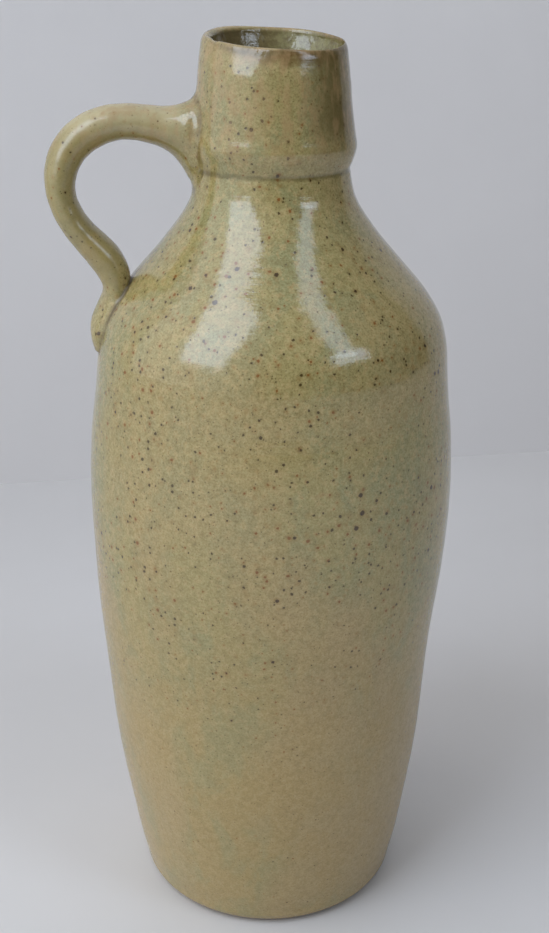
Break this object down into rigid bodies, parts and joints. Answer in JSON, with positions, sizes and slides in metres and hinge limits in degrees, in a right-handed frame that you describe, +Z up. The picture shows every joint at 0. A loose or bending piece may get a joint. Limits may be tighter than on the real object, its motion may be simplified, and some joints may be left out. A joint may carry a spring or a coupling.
{
  "type": "stoneware beer bottle",
  "caption": "Hand-thrown stoneware bottle with a tapered body, a collared neck, an open mouth and a pulled finger handle on the shoulder.",
  "frame": {"origin": "middle of the flat base, on the surface that the bottle stands on", "axes": "+Z up along the bottle; the handle is on the -X side, turned a little towards -Y; -Y faces the viewer"},
  "size_m": [0.1176, 0.1094, 0.267],
  "materials": {
    "glazed_stoneware": "semi-gloss khaki glaze with dark iron speckles, pinkish-tan and greenish-grey mottling"
  },
  "bodies": {
    "root": {"bottle": "glazed_stoneware"}
  },
  "joints": []
}
